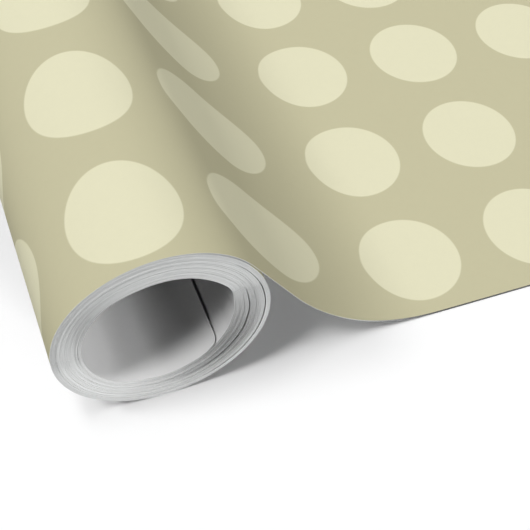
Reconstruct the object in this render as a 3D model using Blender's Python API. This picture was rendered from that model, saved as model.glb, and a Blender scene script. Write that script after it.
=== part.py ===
"""A partly unrolled roll of gift wrapping paper.

The whole object is one long web of paper, printed on its outer side and wound
on itself without a core.  The web runs down from the top right of the roll,
touches down and lies flat.  Where its turns have slipped apart, or where it
bends freely, the web is divided into separate solids.

Frame: origin at the bottom centre of the object's box, +X the way the sheet
runs, +Y along the roll's axis, +Z up.  All sizes are in metres.
"""

import math

import bmesh
import bpy

# The web
ROLL_LENGTH = 0.762           # width of the web, so the length of the roll
SHEET_THICKNESS = 0.0003      # solid that stands for one loose layer of paper
CLEARANCE = 0.0003            # air between solids that are next to each other

# The roll, from the bore outwards
BORE_RADIUS = 0.0205
INNERMOST_WALL = 0.0018
INNER_WALL = 0.0017
MIDDLE_WALL = 0.0035
OUTER_WALL = 0.0016

# The loose end of the web, inside the bore
FLAP_ROOT_ANGLE = math.radians(-90.0)
FLAP_SWEEP = math.radians(54.0)
FLAP_STANDOFF = 0.0017        # from the bore's wall to the free edge

# Where the sheet leaves the roll and comes down to the floor
LEAVE_ANGLE = math.radians(35.3)
TAIL_LENGTH = 0.0065          # of the tangent lip on the outer wraps
STRAIGHT_LENGTH = 0.0222      # straight run after the tangent point
UPPER_HANDLE = 0.0149         # how long the curve keeps the straight's direction
LOWER_HANDLE = 0.0260         # how long it keeps the floor's direction
TOUCHDOWN_DISTANCE = 0.0877   # from the roll's axis, along the floor

# The sheet that lies flat
PANEL_LENGTH = 0.045
PANEL_NAMES = (
    "sheet_foot",
    "sheet_panel_1",
    "sheet_panel_2",
    "sheet_panel_3",
    "sheet_panel_4",
    "sheet_free_end",
)

# Fineness of the facets
ROUND_SEGMENTS = 64
FLAP_SEGMENTS = 12
CURVE_SEGMENTS = 24
SHARP_ANGLE = math.radians(40.0)

# What follows from the sizes above
INNER_START = BORE_RADIUS + INNERMOST_WALL + CLEARANCE
MIDDLE_START = INNER_START + INNER_WALL + CLEARANCE
OUTER_START = MIDDLE_START + MIDDLE_WALL + CLEARANCE
ROLL_RADIUS = OUTER_START + OUTER_WALL
FLAT_LENGTH = PANEL_LENGTH * len(PANEL_NAMES)
FULL_WIDTH = ROLL_RADIUS + TOUCHDOWN_DISTANCE + FLAT_LENGTH
AXIS_X = ROLL_RADIUS - FULL_WIDTH / 2
AXIS_Z = ROLL_RADIUS
TOUCHDOWN_X = AXIS_X + TOUCHDOWN_DISTANCE
HALF_LENGTH = ROLL_LENGTH / 2


def clear_scene():
    """Remove every object that the file starts with."""
    for thing in list(bpy.data.objects):
        bpy.data.objects.remove(thing, do_unlink=True)


def paper(name, colour, roughness):
    """A paper material of one plain colour."""
    material = bpy.data.materials.new(name)
    material.use_nodes = True
    shader = material.node_tree.nodes["Principled BSDF"]
    shader.inputs["Base Color"].default_value = (*colour, 1.0)
    shader.inputs["Roughness"].default_value = roughness
    shader.inputs["Metallic"].default_value = 0.0
    return material


def on_circle(radius, angle):
    """Point (x, z) at a radius and angle about the roll's axis."""
    return (AXIS_X + radius * math.cos(angle), AXIS_Z + radius * math.sin(angle))


def extruded(name, points, faces, edges, pivot, material):
    """One closed solid from a flat outline, drawn at both ends of the roll.

    points are (x, z); faces tile the outline; edges are the pairs of points
    along its border, each of which becomes a wall.
    """
    mesh = bpy.data.meshes.new(name)
    shape = bmesh.new()
    front = [shape.verts.new((x - pivot[0], -HALF_LENGTH, z - pivot[1])) for x, z in points]
    back = [shape.verts.new((x - pivot[0], HALF_LENGTH, z - pivot[1])) for x, z in points]
    for face in faces:
        shape.faces.new([front[i] for i in face])
        shape.faces.new([back[i] for i in reversed(face)])
    for a, b in edges:
        shape.faces.new((front[a], front[b], back[b], back[a]))
    bmesh.ops.recalc_face_normals(shape, faces=shape.faces)
    shape.to_mesh(mesh)
    shape.free()
    mesh.shade_smooth()
    mesh.set_sharp_from_angle(angle=SHARP_ANGLE)
    mesh.materials.append(material)
    solid = bpy.data.objects.new(name, mesh)
    solid.location = (pivot[0], 0.0, pivot[1])
    bpy.context.collection.objects.link(solid)
    return solid


def ring(name, inner_radius, wall, material):
    """A pack of whole turns: a plain tube about the roll's axis."""
    count = ROUND_SEGMENTS
    angles = [2 * math.pi * i / count for i in range(count)]
    points = [on_circle(inner_radius, a) for a in angles]
    points += [on_circle(inner_radius + wall, a) for a in angles]
    faces = []
    edges = []
    for i in range(count):
        j = (i + 1) % count
        faces.append((i, j, count + j, count + i))
        edges.append((i, j))
        edges.append((count + i, count + j))
    return extruded(name, points, faces, edges, (AXIS_X, AXIS_Z), material)


def ring_with_lip(name, inner_radius, wall, material):
    """The outer turns, with the first of the sheet leaving them as a tangent lip."""
    radius = inner_radius + wall
    join_angle = LEAVE_ANGLE - math.acos((radius - SHEET_THICKNESS) / radius)
    sweep = 2 * math.pi + join_angle - LEAVE_ANGLE
    count = ROUND_SEGMENTS
    angles = [LEAVE_ANGLE + sweep * i / (count - 1) for i in range(count)]
    points = [on_circle(inner_radius, a) for a in angles]
    points += [on_circle(radius, a) for a in angles]
    lip_top = leaving_point(TAIL_LENGTH)
    lip_bottom = shifted_under(lip_top, leaving_direction())
    points += [lip_top, lip_bottom]
    top = 2 * count
    bottom = top + 1
    leave = count
    join = 2 * count - 1
    faces = [(join, leave, top, bottom)]
    edges = [(join, bottom), (bottom, top), (top, leave)]
    for i in range(count):
        j = (i + 1) % count
        faces.append((i, j, count + j, count + i))
        edges.append((i, j))
        if j:
            edges.append((count + i, count + j))
    return extruded(name, points, faces, edges, (AXIS_X, AXIS_Z), material)


def strip(name, upper, directions, pivot, material):
    """One layer of paper under a line of points with their directions."""
    lower = [shifted_under(p, d) for p, d in zip(upper, directions)]
    count = len(upper)
    points = list(upper) + lower
    faces = []
    edges = [(0, count), (count - 1, 2 * count - 1)]
    for i in range(count - 1):
        faces.append((i, i + 1, count + i + 1, count + i))
        edges.append((i, i + 1))
        edges.append((count + i, count + i + 1))
    return extruded(name, points, faces, edges, pivot, material)


def shifted_under(point, direction):
    """The point below the sheet's upper side, one thickness away."""
    x, z = point
    dx, dz = direction
    return (x + dz * SHEET_THICKNESS, z - dx * SHEET_THICKNESS)


def leaving_direction():
    """The way the sheet points where it leaves the roll."""
    return (math.sin(LEAVE_ANGLE), -math.cos(LEAVE_ANGLE))


def leaving_point(distance):
    """A point on the straight run, by its distance past the tangent point."""
    x, z = on_circle(ROLL_RADIUS, LEAVE_ANGLE)
    dx, dz = leaving_direction()
    return (x + dx * distance, z + dz * distance)


def lead_off_line():
    """Upper side of the lead-off: a straight run, then one cubic curve."""
    dx, dz = leaving_direction()
    line = [leaving_point(TAIL_LENGTH + CLEARANCE)]
    ways = [(dx, dz)]
    start = leaving_point(STRAIGHT_LENGTH)
    end = (TOUCHDOWN_X - CLEARANCE, SHEET_THICKNESS)
    first = (start[0] + dx * UPPER_HANDLE, start[1] + dz * UPPER_HANDLE)
    second = (end[0] - LOWER_HANDLE, end[1])
    for i in range(CURVE_SEGMENTS + 1):
        t = i / CURVE_SEGMENTS
        s = 1 - t
        weights = (s ** 3, 3 * s * s * t, 3 * s * t * t, t ** 3)
        slopes = (3 * s * s, 6 * s * t, 3 * t * t)
        corners = (start, first, second, end)
        point = [sum(w * c[k] for w, c in zip(weights, corners)) for k in (0, 1)]
        way = [
            sum(w * (b[k] - a[k]) for w, a, b in zip(slopes, corners, corners[1:]))
            for k in (0, 1)
        ]
        size = math.hypot(*way)
        line.append(tuple(point))
        ways.append((way[0] / size, way[1] / size))
    return line, ways


def flap_line():
    """Bore side of the loose end, which stands off the wall more and more."""
    line = []
    ways = []
    for i in range(FLAP_SEGMENTS + 1):
        share = i / FLAP_SEGMENTS
        angle = FLAP_ROOT_ANGLE + FLAP_SWEEP * share
        standoff = CLEARANCE + (FLAP_STANDOFF - CLEARANCE) * share
        radius = BORE_RADIUS - standoff - SHEET_THICKNESS
        line.append(on_circle(radius, angle))
        ways.append((-math.sin(angle), math.cos(angle)))
    return line, ways


def make_wraps():
    """The four packs of turns, which have slipped apart from each other."""
    back = (0.62, 0.62, 0.61)
    print_side = (0.58, 0.55, 0.37)
    ring("innermost_wraps", BORE_RADIUS, INNERMOST_WALL, paper("innermost_paper", back, 0.75))
    ring("inner_wraps", INNER_START, INNER_WALL, paper("inner_paper", back, 0.72))
    ring("middle_wraps", MIDDLE_START, MIDDLE_WALL, paper("middle_paper", back, 0.70))
    ring_with_lip("outer_wraps", OUTER_START, OUTER_WALL, paper("outer_paper", print_side, 0.6))


def make_flap():
    """The loose end in the bore, with its origin on the line where it bends."""
    line, ways = flap_line()
    root = on_circle(BORE_RADIUS - CLEARANCE - SHEET_THICKNESS / 2, FLAP_ROOT_ANGLE)
    strip("inner_end_flap", line, ways, root, paper("flap_paper", (0.66, 0.66, 0.65), 0.75))


def make_lead_off():
    """The stretch of sheet between the roll and the floor."""
    line, ways = lead_off_line()
    strip("lead_off", line, ways, line[-1], paper("lead_off_paper", (0.52, 0.49, 0.33), 0.6))


def make_panels():
    """The flat sheet, in panels with a clearance at each line where it can bend."""
    for number, name in enumerate(PANEL_NAMES):
        start = TOUCHDOWN_X + PANEL_LENGTH * number
        last = number == len(PANEL_NAMES) - 1
        left = start + (CLEARANCE / 2 if number else 0.0)
        right = start + PANEL_LENGTH - (0.0 if last else CLEARANCE / 2)
        line = [(left, SHEET_THICKNESS), (right, SHEET_THICKNESS)]
        flat = (1.0, 0.0)
        pivot = (start, SHEET_THICKNESS / 2)
        strip(name, line, [flat, flat], pivot, paper(name + "_paper", (0.58, 0.55, 0.37), 0.6))


clear_scene()
make_wraps()
make_flap()
make_lead_off()
make_panels()
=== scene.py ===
import math

import bpy
import numpy as np
from mathutils import Euler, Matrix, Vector


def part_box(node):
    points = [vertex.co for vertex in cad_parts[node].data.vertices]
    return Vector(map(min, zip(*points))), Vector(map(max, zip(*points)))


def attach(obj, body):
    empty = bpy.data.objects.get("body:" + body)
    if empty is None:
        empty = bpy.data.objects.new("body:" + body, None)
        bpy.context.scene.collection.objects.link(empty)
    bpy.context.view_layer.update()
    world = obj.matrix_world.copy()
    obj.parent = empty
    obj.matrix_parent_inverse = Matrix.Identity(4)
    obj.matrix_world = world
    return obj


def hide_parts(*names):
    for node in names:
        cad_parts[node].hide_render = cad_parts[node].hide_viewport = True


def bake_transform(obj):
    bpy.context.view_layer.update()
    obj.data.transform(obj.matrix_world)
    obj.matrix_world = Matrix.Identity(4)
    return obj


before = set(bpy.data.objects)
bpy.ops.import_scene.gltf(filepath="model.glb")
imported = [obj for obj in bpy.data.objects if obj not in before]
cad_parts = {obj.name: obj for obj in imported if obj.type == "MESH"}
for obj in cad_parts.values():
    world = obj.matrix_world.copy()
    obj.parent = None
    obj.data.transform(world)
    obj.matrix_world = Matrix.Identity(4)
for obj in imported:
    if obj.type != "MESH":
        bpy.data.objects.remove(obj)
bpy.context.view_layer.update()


# Camera, table and light.
# The roll lies on a wide white table in soft light from the left and from low in
# front, and a long lens looks down at its front end.
wraps_low, wraps_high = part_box("middle_wraps")
roll_middle = (wraps_low + wraps_high) / 2
roll_axis = np.array((roll_middle.x, roll_middle.z))
front_y = wraps_low.y
back_y = wraps_high.y

CAMERA_STAND = Vector((-0.04385, -0.15458, 0.25743))
CAMERA_TURN = Euler((math.radians(38.78), math.radians(-3.23), math.radians(-20.82)))
CAMERA_LENS = 72.06           # millimetres, on the sensor below
SENSOR_WIDTH = 36.0
NEAREST_SEEN = 0.01
camera_data = bpy.data.cameras.new("camera")
camera_data.lens = CAMERA_LENS
camera_data.sensor_width = SENSOR_WIDTH
camera_data.clip_start = NEAREST_SEEN
camera = bpy.data.objects.new("camera", camera_data)
camera.location = Vector((roll_axis[0], front_y, 0.0)) + CAMERA_STAND
camera.rotation_euler = CAMERA_TURN
bpy.context.collection.objects.link(camera)
bpy.context.scene.camera = camera

TABLE_SIZE = 8.0
TABLE_COLOUR = (0.98, 0.98, 0.98)
TABLE_ROUGHNESS = 0.9
TABLE_SPECULAR = 0.1
table_mesh = bpy.data.meshes.new("table_top")
half = TABLE_SIZE / 2
table_corners = [(-half, -half, 0), (half, -half, 0), (half, half, 0), (-half, half, 0)]
table_mesh.from_pydata(table_corners, [], [(0, 1, 2, 3)])
table = bpy.data.objects.new("table_top", table_mesh)
bpy.context.collection.objects.link(table)
table_material = bpy.data.materials.new("white_table")
table_material.use_nodes = True
table_shader = table_material.node_tree.nodes["Principled BSDF"]
table_shader.inputs["Base Color"].default_value = (*TABLE_COLOUR, 1)
table_shader.inputs["Roughness"].default_value = TABLE_ROUGHNESS
table_shader.inputs["Specular IOR Level"].default_value = TABLE_SPECULAR
table_mesh.materials.append(table_material)

SKY_GLOW = 0.05               # what the sky adds everywhere
BACKDROP_GLOW = 1.0           # how bright the backdrop past the table looks
sky = bpy.data.worlds.new("daylight")
bpy.context.scene.world = sky
sky.use_nodes = True
sky_tree = sky.node_tree
glow = sky_tree.nodes["Background"]
glow.inputs["Color"].default_value = (1, 1, 1, 1)
glow.inputs["Strength"].default_value = SKY_GLOW
backdrop = sky_tree.nodes.new("ShaderNodeBackground")
backdrop.inputs["Color"].default_value = (1, 1, 1, 1)
backdrop.inputs["Strength"].default_value = BACKDROP_GLOW
ray = sky_tree.nodes.new("ShaderNodeLightPath")
lit_or_seen = sky_tree.nodes.new("ShaderNodeMixShader")
sky_tree.links.new(ray.outputs["Is Camera Ray"], lit_or_seen.inputs["Fac"])
sky_tree.links.new(glow.outputs["Background"], lit_or_seen.inputs[1])
sky_tree.links.new(backdrop.outputs["Background"], lit_or_seen.inputs[2])
sky_tree.links.new(lit_or_seen.outputs["Shader"], sky_tree.nodes["World Output"].inputs["Surface"])
bpy.context.scene.view_settings.view_transform = "Standard"
bpy.context.scene.cycles.diffuse_bounces = 0

SOFTBOX_ANGLE = math.radians(12)
SOFTBOXES = (                 # name, elevation and bearing in degrees, strength
    ("left_low", 45, 172, 0.280),
    ("left_front_low", 45, 195, 0.105),
    ("left_front", 60, 195, 0.335),
    ("left_back", 75, 158, 0.110),
    ("overhead", 75, 187, 0.125),
    ("front_fill", 7, 285, 1.290),
    ("left_fill", 7, 255, 0.190),
    ("right_fill", 7, 303, 0.160),
)
SOFTBOX_DISTANCE = 2.0
for name, elevation, bearing, strength in SOFTBOXES:
    up = math.radians(elevation)
    around = math.radians(bearing)
    level = math.cos(up)
    towards = Vector((level * math.cos(around), level * math.sin(around), math.sin(up)))
    lamp_data = bpy.data.lights.new(name, "SUN")
    lamp_data.energy = math.pi * strength
    lamp_data.angle = SOFTBOX_ANGLE
    lamp = bpy.data.objects.new(name, lamp_data)
    lamp.location = towards * SOFTBOX_DISTANCE
    lamp.rotation_euler = towards.to_track_quat("Z", "Y").to_euler()
    bpy.context.collection.objects.link(lamp)

BACK_PANEL_PLACE = Vector((0.0, 0.5, 0.12))   # from the table under the roll's back end
BACK_PANEL_TILT = math.radians(-80)
BACK_PANEL_SIZE = 0.30
BACK_PANEL_POWER = 2.7
panel_data = bpy.data.lights.new("back_panel", "AREA")
panel_data.energy = BACK_PANEL_POWER
panel_data.size = BACK_PANEL_SIZE
panel = bpy.data.objects.new("back_panel", panel_data)
panel.location = Vector((roll_axis[0], back_y, 0.0)) + BACK_PANEL_PLACE
panel.rotation_euler = (BACK_PANEL_TILT, 0.0, 0.0)
panel.visible_camera = False
bpy.context.collection.objects.link(panel)


# The paper itself.
# Coated white paper, printed on one side with cream dots on khaki and left plain on the other.
# Its cut edge is white fibre, painted a darker grey for the shade that lies between the layers.
DOT_PITCH = 0.045
DOT_RADIUS = 0.364            # in dot pitches
DOT_SOFTNESS = 0.006          # of the dot's edge, in dot pitches
FIRST_DOT_ROW = 0.471         # from the web's front edge, in dot pitches
PAPER_THICKNESS = 0.00010
KHAKI = (0.552, 0.523, 0.347)
CREAM = (0.752, 0.728, 0.521)
PLAIN = (0.95, 0.95, 0.945)
# White fibre darkened to grey: painted shade between the layers.
CUT_FIBRE_AND_SHADE = (0.500, 0.508, 0.504)
FINE_FIBRE = 9.0              # how many times finer the single fibres are than the clouds
NOISE_RANGE = (0.3, 0.7)      # where most of a noise's values lie
SHARP_EDGE = math.radians(40)


def add_node(tree, kind, **sockets):
    """Add a node, set its plain input values and return it."""
    node = tree.nodes.new(kind)
    for name, value in sockets.items():
        node.inputs[name.replace("_", " ")].default_value = value
    return node


def build_fibre_group():
    """Paper fibre: a fine felted tone and a height that go with it."""
    group = bpy.data.node_groups.new("paper_fibre", "ShaderNodeTree")
    face = group.interface
    face.new_socket("Size", in_out="INPUT", socket_type="NodeSocketFloat")
    face.new_socket("Tone", in_out="OUTPUT", socket_type="NodeSocketFloat")
    face.new_socket("Height", in_out="OUTPUT", socket_type="NodeSocketFloat")
    start = group.nodes.new("NodeGroupInput")
    end = group.nodes.new("NodeGroupOutput")
    place = group.nodes.new("ShaderNodeTexCoord")
    cloudy = add_node(group, "ShaderNodeTexNoise", Detail=6.0, Roughness=0.65)
    fine = add_node(group, "ShaderNodeTexNoise", Detail=3.0, Roughness=0.7)
    finer = group.nodes.new("ShaderNodeMath")
    finer.operation = "MULTIPLY"
    finer.inputs[1].default_value = FINE_FIBRE
    both = group.nodes.new("ShaderNodeMath")
    both.operation = "ADD"
    halve = group.nodes.new("ShaderNodeMath")
    halve.operation = "MULTIPLY"
    halve.inputs[1].default_value = 0.5
    link = group.links.new
    link(place.outputs["Object"], cloudy.inputs["Vector"])
    link(place.outputs["Object"], fine.inputs["Vector"])
    link(start.outputs["Size"], cloudy.inputs["Scale"])
    link(start.outputs["Size"], finer.inputs[0])
    link(finer.outputs[0], fine.inputs["Scale"])
    link(cloudy.outputs["Fac"], both.inputs[0])
    link(fine.outputs["Fac"], both.inputs[1])
    link(both.outputs[0], halve.inputs[0])
    link(halve.outputs[0], end.inputs["Tone"])
    link(fine.outputs["Fac"], end.inputs["Height"])
    return group


fibre_group = build_fibre_group()


def spread_noise(tree, low, high):
    """Node that stretches a noise's usual values to run from low to high."""
    return add_node(
        tree,
        "ShaderNodeMapRange",
        From_Min=NOISE_RANGE[0],
        From_Max=NOISE_RANGE[1],
        To_Min=low,
        To_Max=high,
    )


def paper_material(name, size, tone, roughness, bump, specular):
    """A paper surface with fibre in its tone, roughness and relief.

    tone and roughness are ranges, and bump is a strength and a depth.  Returns the
    material and the node whose colour input takes the paper's colour.
    """
    material = bpy.data.materials.new(name)
    material.use_nodes = True
    tree = material.node_tree
    shader = tree.nodes["Principled BSDF"]
    shader.inputs["Specular IOR Level"].default_value = specular
    fibre = tree.nodes.new("ShaderNodeGroup")
    fibre.node_tree = fibre_group
    fibre.inputs["Size"].default_value = size
    fibre_tone = spread_noise(tree, *tone)
    gloss = spread_noise(tree, *roughness)
    shade = tree.nodes.new("ShaderNodeMix")
    shade.data_type = "RGBA"
    shade.blend_type = "MULTIPLY"
    shade.inputs["Factor"].default_value = 1.0
    relief = add_node(tree, "ShaderNodeBump", Strength=bump[0], Distance=bump[1])
    link = tree.links.new
    link(fibre.outputs["Tone"], fibre_tone.inputs["Value"])
    link(fibre.outputs["Tone"], gloss.inputs["Value"])
    link(fibre_tone.outputs["Result"], shade.inputs["B"])
    link(shade.outputs["Result"], shader.inputs["Base Color"])
    link(gloss.outputs["Result"], shader.inputs["Roughness"])
    link(fibre.outputs["Height"], relief.inputs["Height"])
    link(relief.outputs["Normal"], shader.inputs["Normal"])
    return material, shade


def build_printed_face():
    """Printed side: a square grid of dots, drawn in the web's own coordinates."""
    material, shade = paper_material(
        "printed_face",
        size=420.0,
        tone=(0.985, 1.015),
        roughness=(0.62, 0.74),
        bump=(0.06, 0.00004),
        specular=0.06,
    )
    tree = material.node_tree
    place = tree.nodes.new("ShaderNodeTexCoord")
    shift = tree.nodes.new("ShaderNodeVectorMath")
    shift.operation = "ADD"
    shift.inputs[1].default_value = (0.5, 0.5, 0.0)
    cell = tree.nodes.new("ShaderNodeVectorMath")
    cell.operation = "FRACTION"
    centre = tree.nodes.new("ShaderNodeVectorMath")
    centre.operation = "SUBTRACT"
    centre.inputs[1].default_value = (0.5, 0.5, 0.0)
    reach = tree.nodes.new("ShaderNodeVectorMath")
    reach.operation = "LENGTH"
    dot = add_node(
        tree,
        "ShaderNodeMapRange",
        From_Min=DOT_RADIUS - DOT_SOFTNESS,
        From_Max=DOT_RADIUS + DOT_SOFTNESS,
        To_Min=1.0,
        To_Max=0.0,
    )
    dot.interpolation_type = "SMOOTHSTEP"
    ink = tree.nodes.new("ShaderNodeMix")
    ink.data_type = "RGBA"
    ink.inputs["A"].default_value = (*KHAKI, 1)
    ink.inputs["B"].default_value = (*CREAM, 1)
    link = tree.links.new
    link(place.outputs["UV"], shift.inputs[0])
    link(shift.outputs["Vector"], cell.inputs[0])
    link(cell.outputs["Vector"], centre.inputs[0])
    link(centre.outputs["Vector"], reach.inputs[0])
    link(reach.outputs["Value"], dot.inputs["Value"])
    link(dot.outputs["Result"], ink.inputs["Factor"])
    link(ink.outputs["Result"], shade.inputs["A"])
    return material


def build_plain_face():
    """Reverse side: unprinted white paper."""
    material, shade = paper_material(
        "plain_face",
        size=380.0,
        tone=(0.975, 1.02),
        roughness=(0.70, 0.85),
        bump=(0.10, 0.00005),
        specular=0.10,
    )
    shade.inputs["A"].default_value = (*PLAIN, 1)
    return material


def build_cut_edge():
    """Cut edge: bare fibre, with a tone that differs from layer to layer.

    The tone follows the distance from the roll's axis and the place along the web.
    A point attribute lays painted shade over it, for the shadow between the layers.
    """
    layers_per_metre = 1500.0
    change_round_the_roll = 1.3
    material, shade = paper_material(
        "cut_edge",
        size=900.0,
        tone=(0.95, 1.03),
        roughness=(0.8, 0.95),
        bump=(0.2, 0.00005),
        specular=0.10,
    )
    tree = material.node_tree
    place = tree.nodes.new("ShaderNodeTexCoord")
    centre = tree.nodes.new("ShaderNodeVectorMath")
    centre.operation = "SUBTRACT"
    centre.inputs[1].default_value = (roll_axis[0], 0.0, roll_axis[1])
    flatten = tree.nodes.new("ShaderNodeVectorMath")
    flatten.operation = "MULTIPLY"
    flatten.inputs[1].default_value = (1.0, 0.0, 1.0)
    reach = tree.nodes.new("ShaderNodeVectorMath")
    reach.operation = "LENGTH"
    direction = tree.nodes.new("ShaderNodeVectorMath")
    direction.operation = "NORMALIZE"
    spread = tree.nodes.new("ShaderNodeVectorMath")
    spread.operation = "SCALE"
    spread.inputs["Scale"].default_value = change_round_the_roll
    radial = tree.nodes.new("ShaderNodeCombineXYZ")
    stretch = tree.nodes.new("ShaderNodeMath")
    stretch.operation = "MULTIPLY"
    stretch.inputs[1].default_value = layers_per_metre
    both = tree.nodes.new("ShaderNodeVectorMath")
    both.operation = "ADD"
    groups = add_node(tree, "ShaderNodeTexNoise", Scale=1.0, Detail=5.0, Roughness=0.8)
    group_tint = add_node(
        tree, "ShaderNodeMapRange", From_Min=0.32, From_Max=0.68, To_Min=0.84, To_Max=1.04
    )
    layers = add_node(tree, "ShaderNodeTexNoise", Scale=0.55, Detail=2.0, Roughness=0.6)
    layer_tint = add_node(
        tree, "ShaderNodeMapRange", From_Min=0.35, From_Max=0.65, To_Min=0.86, To_Max=1.04
    )
    layers.noise_dimensions = "1D"
    along = tree.nodes.new("ShaderNodeSeparateXYZ")
    tint = tree.nodes.new("ShaderNodeMath")
    tint.operation = "MULTIPLY"
    # Painted shade, read from a point attribute, darkens the tone here.
    loose = tree.nodes.new("ShaderNodeAttribute")
    loose.attribute_name = "painted_shade"
    unshaded_share = tree.nodes.new("ShaderNodeMath")
    unshaded_share.operation = "SUBTRACT"
    unshaded_share.inputs[0].default_value = 1.0
    shaded = tree.nodes.new("ShaderNodeMath")
    shaded.operation = "MULTIPLY"
    colour = tree.nodes.new("ShaderNodeMix")
    colour.data_type = "RGBA"
    colour.blend_type = "MULTIPLY"
    colour.inputs["Factor"].default_value = 1.0
    colour.inputs["A"].default_value = (*CUT_FIBRE_AND_SHADE, 1)
    link = tree.links.new
    link(place.outputs["Object"], centre.inputs[0])
    link(centre.outputs["Vector"], flatten.inputs[0])
    link(flatten.outputs["Vector"], reach.inputs[0])
    link(flatten.outputs["Vector"], direction.inputs[0])
    link(direction.outputs["Vector"], spread.inputs[0])
    link(reach.outputs["Value"], stretch.inputs[0])
    link(stretch.outputs[0], radial.inputs["Y"])
    link(spread.outputs["Vector"], both.inputs[0])
    link(radial.outputs["Vector"], both.inputs[1])
    link(both.outputs["Vector"], groups.inputs["Vector"])
    link(groups.outputs["Fac"], group_tint.inputs["Value"])
    link(place.outputs["UV"], along.inputs["Vector"])
    link(along.outputs["X"], layers.inputs["W"])
    link(layers.outputs["Fac"], layer_tint.inputs["Value"])
    link(group_tint.outputs["Result"], tint.inputs[0])
    link(layer_tint.outputs["Result"], tint.inputs[1])
    link(loose.outputs["Fac"], unshaded_share.inputs[1])
    link(tint.outputs[0], shaded.inputs[0])
    link(unshaded_share.outputs[0], shaded.inputs[1])
    link(shaded.outputs[0], colour.inputs["B"])
    link(colour.outputs["Result"], shade.inputs["A"])
    return material


printed_face = build_printed_face()
plain_face = build_plain_face()
cut_edge = build_cut_edge()


def across_web(line, rows):
    """Points of one side of the web: each of the line's points, at each of its rows."""
    across = rows.shape[1]
    xs = np.repeat(line[:, :1], across, 1)
    zs = np.repeat(line[:, 1:], across, 1)
    return np.stack([xs, rows, zs], axis=2).reshape(-1, 3)


def paper_strip(name, line, rows, along, bare_from=None, painted_shade=None, thickness=None):
    """A closed thin body of paper from its printed side.

    line holds the printed side's (x, z) points along the web, from the free end of the
    sheet towards the bore.  rows holds the y of each point's rows across it, and along
    the print's place at each point, in dot pitches.  From the point bare_from on, the
    outermost rows on both sides carry no ink.  The argument after bare_from holds
    painted shade for the cut edges, a darkening that stands for shadow under and between layers.
    """
    line = np.asarray(line, float)
    rows = np.asarray(rows, float)
    steps, across = rows.shape
    way = np.gradient(line, axis=0)
    way /= np.linalg.norm(way, axis=1)[:, None]
    up = np.stack([way[:, 1], -way[:, 0]], axis=1)
    if thickness is None:
        thickness = np.full(steps, PAPER_THICKNESS)
    under = line - up * thickness[:, None]
    points = np.concatenate([across_web(line, rows), across_web(under, rows)])
    body = paper_body(name, points, steps, across, along, bare_from)
    # Store the painted shade for the cut edge's shader.
    if painted_shade is not None:
        layer = body.data.attributes.new("painted_shade", "FLOAT", "POINT")
        layer.data.foreach_set("value", np.tile(np.repeat(painted_shade, across), 2).astype(np.float32))
    return body


def paper_body(name, points, steps, across, along, bare_from):
    """Mesh of one strip from its two layers of points, printed side first."""
    ink, reverse, cut = 0, 1, 2
    size = steps * across
    index = np.arange(size).reshape(steps, across)
    faces = []
    kinds = []

    def add(a, b, c, d, kind):
        faces.append(np.stack([a.ravel(), b.ravel(), c.ravel(), d.ravel()], axis=1))
        kinds.append(np.full(a.size, kind))

    a, b, c, d = index[:-1, :-1], index[1:, :-1], index[1:, 1:], index[:-1, 1:]
    add(a, b, c, d, ink)
    add(d + size, c + size, b + size, a + size, reverse)
    for edge in (index[:, 0], index[::-1, -1], index[-1, :], index[0, ::-1]):
        near, far = edge[:-1], edge[1:]
        add(near, near + size, far + size, far, cut)
    if bare_from is not None:
        printed = kinds[0].reshape(steps - 1, across - 1)
        printed[bare_from:, [0, -1]] = cut
    quads = np.concatenate(faces)
    mesh = bpy.data.meshes.new(name)
    mesh.from_pydata(points.tolist(), [], quads.tolist())
    mesh.materials.append(printed_face)
    mesh.materials.append(plain_face)
    mesh.materials.append(cut_edge)
    mesh.polygons.foreach_set("material_index", np.concatenate(kinds).astype(np.int32))
    print_place = np.empty((2 * size, 2))
    print_place[:] = np.tile(np.repeat(along, across, axis=0), (2, 1))
    print_place[:, 1] += (points[:, 1] - front_y) / DOT_PITCH - FIRST_DOT_ROW
    corners = np.empty(len(mesh.loops), np.int32)
    mesh.loops.foreach_get("vertex_index", corners)
    layer = mesh.uv_layers.new(name="print")
    layer.data.foreach_set("uv", print_place[corners].ravel())
    mesh.update()
    mesh.shade_smooth()
    mesh.set_sharp_from_angle(angle=SHARP_EDGE)
    body = bpy.data.objects.new(name, mesh)
    bpy.context.collection.objects.link(body)
    return body


# The outer turns with the sheet that leads off them.
# One stretch of web: from the flat sheet up the slope, over the roll and down
# through the loose outer turns, with the print on the outside all the way.
TURN_STEPS = 120
LEAVE_ANGLE = math.radians(35.3)   # round the roll's axis, where the sheet leaves it
STRAIGHT_LENGTH = 0.0222
UPPER_HANDLE = 0.0149         # how long the curve keeps the straight's direction
LOWER_HANDLE = 0.0260         # how long it keeps the table's direction
STRAIGHT_STEPS = 8
CURVE_STEPS = 40
DOT_COLUMN = 0.08784          # from the roll's axis to a column of dots on the flat sheet
SHEET_TOP = 0.00090           # of the printed side, above the table
PRINT_KNOTS = (               # along the web, along the print, print's sideways drift
    (-3.220, -2.643, -0.03),
    (-2.909, -2.357, 0.068),
    (-2.229, -1.643, 0.068),
    (-1.945, -1.357, -0.06),
    (-0.775, -0.643, -0.07),
    (-0.370, -0.357, 0.0),
)
BORE_RADIUS = 0.0205
INNER_END_ANGLE = math.radians(-100)   # where the loose inner end begins
FULL_TURNS = 57
TOTAL_TURNS = FULL_TURNS + 1 + (INNER_END_ANGLE - LEAVE_ANGLE) / (2 * math.pi)
ROUND_DOWN_TO = 0.0283        # radius outside which the turns stay truly round
ROLL_STANDS_OUT = 0.00095     # of the roll's end past the sheet's front edge
STAND_OUT_TURNS = 0.25        # turns over which the web slants out to there
LAYER_SCATTER = 0.000045      # of the cut edges, from layer to layer
SLOW_SCATTER = 0.00006        # the same, from one group of layers to the next
SLOW_SCATTER_TURNS = 4
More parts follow.
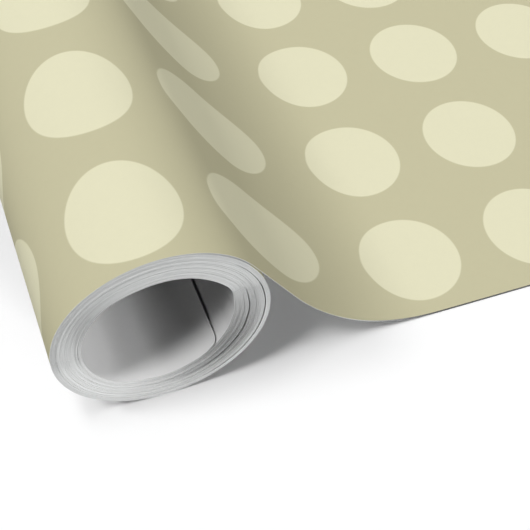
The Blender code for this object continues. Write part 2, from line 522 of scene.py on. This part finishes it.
WAVE_HEIGHT = 0.00004         # of a wave that goes slowly round the turns
WAVE_TURNS = 9.3
SCATTER_FROM = 0.3            # turns in, where the edges begin to wander
FRONT_SEED = 11
BACK_SEED = 12
BARE_MARGIN = 0.0012          # along the wound web's edges, without ink
BORE_SHAPE = (                # degrees round the bore, metres outside its true circle
    (-180, 0.00144),
    (-130, 0.00108),
    (-100, -0.00040),
    (-60, -0.00140),
    (-30, -0.00180),
    (-10, -0.00160),
    (8, -0.00085),
    (32, 0.00074),
    (50, 0.00054),
    (75, 0.00068),
    (105, 0.00060),
    (135, 0.00130),
    (180, 0.00144),
)
GAPS = (                      # turns in, direction and half width in degrees, opening
    (4.0, -45, 50, 0.00010),
    (9.9, -40, 60, 0.00014),
    (17.0, -40, 50, 0.00009),
    (24.0, 0, 45, 0.00008),
    (34.2, -32, 58, 0.00050),
    (38.0, -60, 50, 0.00012),
    (41.5, -20, 55, 0.00010),
    (46.5, 165, 50, 0.00008),
    (48.0, -45, 60, 0.00016),
    (52.0, 150, 60, 0.00012),
    (55.0, -30, 70, 0.00010),
)
SLIP_GAP = (9.88, 0.00006)    # turns in, opening all the way round
GAP_SPREAD = 0.3              # turns that an opening is spread over
GAP_TAPER = 0.7               # how bluntly it closes towards its two sides
PARTS_PER_TURN = 8            # of the table that the openings are added up in
TABLE_THICKNESS = 0.00085     # of the sheet on the table, with the air under it, as a thick edge that carries a painted shadow
TABLE_EDGE_PAINTED_SHADOW = 0.86       # painted shadow on that edge, for the shade in the air under the sheet
# Painted shade on the cut edges, for the shadow between the layers.
PAINTED_SHADE_INSIDE = 0.0278         # radius inside which the cut edges carry more painted shade
PAINTED_SHADE_FADE = 0.0022
PAINTED_SHADE_ZONES = (               # painted shade on the roll's end: direction and width in degrees, all through, further in
    (-38, 62, 0.00, 0.60),
    (148, 36, 0.14, 0.16),
)
outer_low, outer_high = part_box("outer_wraps")
roll_radius = (outer_high.z - outer_low.z) / 2
foot_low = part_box("sheet_foot")[0]
panel_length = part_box("sheet_panel_2")[0].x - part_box("sheet_panel_1")[0].x


def print_along(distance):
    """Where the print is at a distance along the web, and its drift, in dot pitches.

    The print is drawn out on the slope, and true to size on the flat sheet.
    """
    places = np.asarray(distance) / DOT_PITCH
    knots, values, drifts = (np.array(column) for column in zip(*PRINT_KNOTS))
    inside = np.interp(places, knots, values)
    inside = np.where(places < knots[0], places - knots[0] + values[0], inside)
    inside = np.where(places > knots[-1], places - knots[-1] + values[-1], inside)
    return np.stack([inside, np.interp(places, knots, drifts)], axis=1)


def lead_off_line():
    """Printed side of the sheet, from where it leaves the roll down to the table.

    It runs straight on for a short way, and then in one curve that ends flat.
    """
    turn = np.array((math.cos(LEAVE_ANGLE), math.sin(LEAVE_ANGLE)))
    way = np.array((turn[1], -turn[0]))
    leave = roll_axis + roll_radius * turn
    start = leave + way * STRAIGHT_LENGTH
    end = np.array((foot_low.x, SHEET_TOP))
    share = np.linspace(0, 1, CURVE_STEPS + 1)[:, None]
    rest = 1 - share
    first = start + way * UPPER_HANDLE
    second = end - (LOWER_HANDLE, 0)
    curve = rest**3 * start + 3 * rest**2 * share * first
    curve += 3 * rest * share**2 * second
    curve += share**3 * end
    straight = leave + way * np.linspace(0, STRAIGHT_LENGTH, STRAIGHT_STEPS + 1)[:-1, None]
    return np.concatenate([straight, curve])


def bore_shape(angle):
    """How far the bore's wall stands outside its true circle."""
    degrees = (np.degrees(angle) + 180) % 360 - 180
    places, offsets = (np.array(column) for column in zip(*BORE_SHAPE))
    number = np.clip(np.searchsorted(places, degrees, side="right") - 1, 0, len(places) - 2)
    share = (degrees - places[number]) / (places[number + 1] - places[number])
    share = share * share * (3 - 2 * share)
    return offsets[number] * (1 - share) + offsets[number + 1] * share


def gap_share(depth, at_turn):
    """How much of an opening lies at each depth, per turn."""
    return np.exp(-(((depth - at_turn) / GAP_SPREAD) ** 2)) / (GAP_SPREAD * math.sqrt(math.pi))


def layer_openings(depth, angles):
    """How far the layers lie apart at each depth and angle, in metres per turn."""
    opening = np.zeros((len(depth), len(angles)))
    for at_turn, direction, width, size in GAPS:
        lean = np.cos(angles - math.radians(direction))
        limit = math.cos(math.radians(width))
        fan = np.clip((lean - limit) / (1 - limit), 0, 1) ** GAP_TAPER
        opening += size * fan[None, :] * gap_share(depth, at_turn)[:, None]
    at_turn, size = SLIP_GAP
    return opening + size * gap_share(depth, at_turn)[:, None]


def coil_line():
    """Printed side of all the wound turns, from the outside in.

    Where some layers lie apart, the others there are closer together, so that the
    roll's wall keeps its thickness.  The inner turns follow the shape of the bore.
    """
    count = int(round(TOTAL_TURNS * TURN_STEPS))
    depth = np.arange(int(TOTAL_TURNS * PARTS_PER_TURN) + 2 * PARTS_PER_TURN) / PARTS_PER_TURN
    angles = LEAVE_ANGLE + 2 * math.pi * np.arange(TURN_STEPS) / TURN_STEPS
    opening = layer_openings(depth, angles)
    total_opening = opening[depth <= TOTAL_TURNS].sum(0) / PARTS_PER_TURN
    wall = roll_radius - BORE_RADIUS - PAPER_THICKNESS
    pitch = (wall - total_opening) / TOTAL_TURNS
    fallen = np.cumsum(pitch[None, :] + opening, axis=0) / PARTS_PER_TURN
    fallen = np.concatenate([np.zeros((1, TURN_STEPS)), fallen[:-1]])
    number = np.arange(count + 1)
    column = number % TURN_STEPS
    turn = number / TURN_STEPS
    low = np.minimum((turn * PARTS_PER_TURN).astype(int), len(depth) - 2)
    part = turn * PARTS_PER_TURN - low
    radius = roll_radius - fallen[low, column] * (1 - part) - fallen[low + 1, column] * part
    angle = LEAVE_ANGLE + 2 * math.pi * turn
    inward = np.clip((ROUND_DOWN_TO - radius) / (ROUND_DOWN_TO - BORE_RADIUS), 0, 1)
    radius = radius + bore_shape(angle) * inward
    line = roll_axis + radius[:, None] * np.stack([np.cos(angle), np.sin(angle)], axis=1)
    return line, turn, angle, radius


def painted_layer_shade(angle, radius):
    """Painted shade on the roll's end, from 0 for none, standing for shadow between the layers."""
    further_in = np.clip((PAINTED_SHADE_INSIDE - radius) / PAINTED_SHADE_FADE, 0, 1)
    total = np.zeros_like(angle)
    for direction, width, everywhere, inside in PAINTED_SHADE_ZONES:
        away = (np.degrees(angle) - direction + 180) % 360 - 180
        total += np.exp(-2 * (away / width) ** 2) * (everywhere + inside * further_in)
    return total


def edge_wander(turn, angle, seed):
    """How far each layer's cut edge stands out of the roll's end."""
    draw = np.random.default_rng(seed)
    count = int(turn[-1]) + 3
    slow_turns = np.arange(0, count, SLOW_SCATTER_TURNS)
    loose = np.interp(turn, np.arange(count), draw.normal(0, LAYER_SCATTER, count))
    slow = np.interp(turn, slow_turns, draw.normal(0, SLOW_SCATTER, len(slow_turns)))
    wave = WAVE_HEIGHT * np.sin(2 * math.pi * turn / WAVE_TURNS + angle)
    fade = np.clip(turn - SCATTER_FROM, 0, 1)
    return (loose + slow + wave) * fade


def coil_rows(turn, angle):
    """The rows across the wound web, with its two wandering cut edges."""
    skew = -ROLL_STANDS_OUT * np.clip(turn / STAND_OUT_TURNS, 0, 1)
    front = front_y + skew + edge_wander(turn, angle, FRONT_SEED)
    back = back_y + skew + edge_wander(turn, angle, BACK_SEED)
    return np.stack([front, front + BARE_MARGIN, back - BARE_MARGIN, back], axis=1)


def line_length(line):
    """Distance along a line of points, starting from zero."""
    return np.concatenate([[0], np.cumsum(np.linalg.norm(np.diff(line, axis=0), axis=1))])


OUTER_END_TURN = 9.735
FIRST_BEND = 0.0085           # half length of the bend nearest the roll
FLAT_STEPS = 10
lead = lead_off_line()
first_hinge = foot_low.x + panel_length
flat_end = (first_hinge - FIRST_BEND, SHEET_TOP)
flat_part = np.linspace(flat_end, (foot_low.x, SHEET_TOP), FLAT_STEPS + 1)[:-1]
coil, coil_turn, coil_angle, coil_radius = coil_line()
# Painted shade for the wound turns' cut edges.
coil_painted_shade = painted_layer_shade(coil_angle, coil_radius)
all_coil_rows = coil_rows(coil_turn, coil_angle)
outer_stop = int(round(OUTER_END_TURN * TURN_STEPS)) + 1
outer_line = np.concatenate([flat_part, lead[::-1], coil[1:outer_stop]])
loose_count = len(flat_part) + len(lead)
distance = line_length(outer_line)
start_place = (flat_end[0] - roll_axis[0]) - DOT_COLUMN
along = print_along(start_place - distance)
plain_rows = np.array((front_y, front_y + BARE_MARGIN, back_y - BARE_MARGIN, back_y))
rows = np.concatenate([np.repeat(plain_rows[None], loose_count, 0), all_coil_rows[1:outer_stop]])
slope_share = np.linspace(1, 0, len(lead))
on_table = np.concatenate([np.ones(len(flat_part)), np.clip(2 * slope_share - 1, 0, 1)])
# Painted shadow along the edge of the sheet on the table, fading out up the slope, then painted shade
# between the wound turns.
outer_painted_shade = np.concatenate([TABLE_EDGE_PAINTED_SHADOW * on_table, coil_painted_shade[1:outer_stop]])
outer_thickness = np.full(len(outer_line), PAPER_THICKNESS)
# The sheet on the table is thickened so that its edge carries that painted shadow.
outer_thickness[:loose_count] += (TABLE_THICKNESS - PAPER_THICKNESS) * on_table
bare_from = loose_count + TURN_STEPS
outer_web = paper_strip(
    "outer_turns_and_lead_off", outer_line, rows, along, bare_from, outer_painted_shade, outer_thickness
)
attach(outer_web, "sheet_and_outer_turns")
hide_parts("outer_wraps", "lead_off", "sheet_foot")


# The flat sheet.
# The same web, lying on the table.  It is in stretches from the middle of one
# panel to the middle of the next, each across the line between two panels.
PANEL_STEPS = 25
panels = ["sheet_panel_1", "sheet_panel_2", "sheet_panel_3", "sheet_panel_4", "sheet_free_end"]
for number, panel in enumerate(panels):
    hinge_x = first_hinge + number * panel_length
    reach = panel_length / 2 if number else FIRST_BEND
    last = panel == panels[-1]
    start_x = hinge_x - reach
    end_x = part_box(panel)[1].x if last else hinge_x + panel_length / 2
    xs = np.linspace(start_x, end_x, PANEL_STEPS)
    line = np.stack([xs, np.full(PANEL_STEPS, SHEET_TOP)], axis=1)
    piece_rows = np.repeat(plain_rows[None], PANEL_STEPS, 0)
    piece_along = print_along(xs - roll_axis[0] - DOT_COLUMN)
    piece = paper_strip(
        f"flat_sheet_{number + 1}",
        line[::-1],
        piece_rows,
        piece_along[::-1],
        # A thick edge with painted shadow, for the shade in the air under the sheet.
        painted_shade=np.full(PANEL_STEPS, TABLE_EDGE_PAINTED_SHADOW),
        thickness=np.full(PANEL_STEPS, TABLE_THICKNESS),
    )
    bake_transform(piece)
    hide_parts(panel)


# The middle, inner and innermost turns.
# Wound layers under the outer ones, in packs that have slipped apart, with their
# plain side facing the bore.
packs = (                     # name, node, turn it starts at, turn it ends at
    ("middle_turns", "middle_wraps", 10.03, 34.2),
    ("inner_turns", "inner_wraps", 34.2, 46.5),
    ("innermost_turns", "innermost_wraps", 46.5, TOTAL_TURNS),
)
for name, node, first_turn, last_turn in packs:
    first = int(round(first_turn * TURN_STEPS))
    stop = int(round(last_turn * TURN_STEPS)) + 1
    pack_line = coil[first:stop]
    pack_along = print_along(-line_length(pack_line) - first_turn)
    pack = paper_strip(
        name, pack_line, all_coil_rows[first:stop], pack_along, 0, coil_painted_shade[first:stop]
    )
    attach(pack, name)
    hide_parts(node)


# The loose inner end.
# The web's last stretch lifts off the bottom of the bore and ends in a straight
# cut edge with a rounded corner.
FLAP_LIFTS_AT = math.radians(-60)
FLAP_END = math.radians(-33.8)
FLAP_LIFT = 0.0009            # of its cut edge, off the bore's wall
CORNER_RADIUS = 0.0022
FLAP_STEPS = 49
FLAP_ROWS = 25
share = np.linspace(0, 1, FLAP_STEPS)
angle = INNER_END_ANGLE + (FLAP_END - INNER_END_ANGLE) * share
rise = np.clip((angle - FLAP_LIFTS_AT) / (FLAP_END - FLAP_LIFTS_AT), 0, 1)
lift = FLAP_LIFT * rise * rise * (3 - rise) / 2
flap_radius = BORE_RADIUS + PAPER_THICKNESS + bore_shape(angle) - lift
flap_line = roll_axis + flap_radius[:, None] * np.stack([np.cos(angle), np.sin(angle)], axis=1)
to_edge = line_length(flap_line)
to_edge = to_edge[-1] - to_edge
into_corner = np.clip(CORNER_RADIUS - to_edge, 0, None)
inset = CORNER_RADIUS - np.sqrt(np.clip(CORNER_RADIUS**2 - into_corner**2, 0, None))
spread = np.linspace(0, 1, FLAP_ROWS)
front_edge = all_coil_rows[-1, 0] + inset
back_edge = all_coil_rows[-1, -1] - inset
flap_rows = front_edge[:, None] * (1 - spread) + back_edge[:, None] * spread
flap = paper_strip("inner_end_flap_paper", flap_line, flap_rows, print_along(-line_length(flap_line) - 1))
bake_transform(flap)
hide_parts("inner_end_flap")
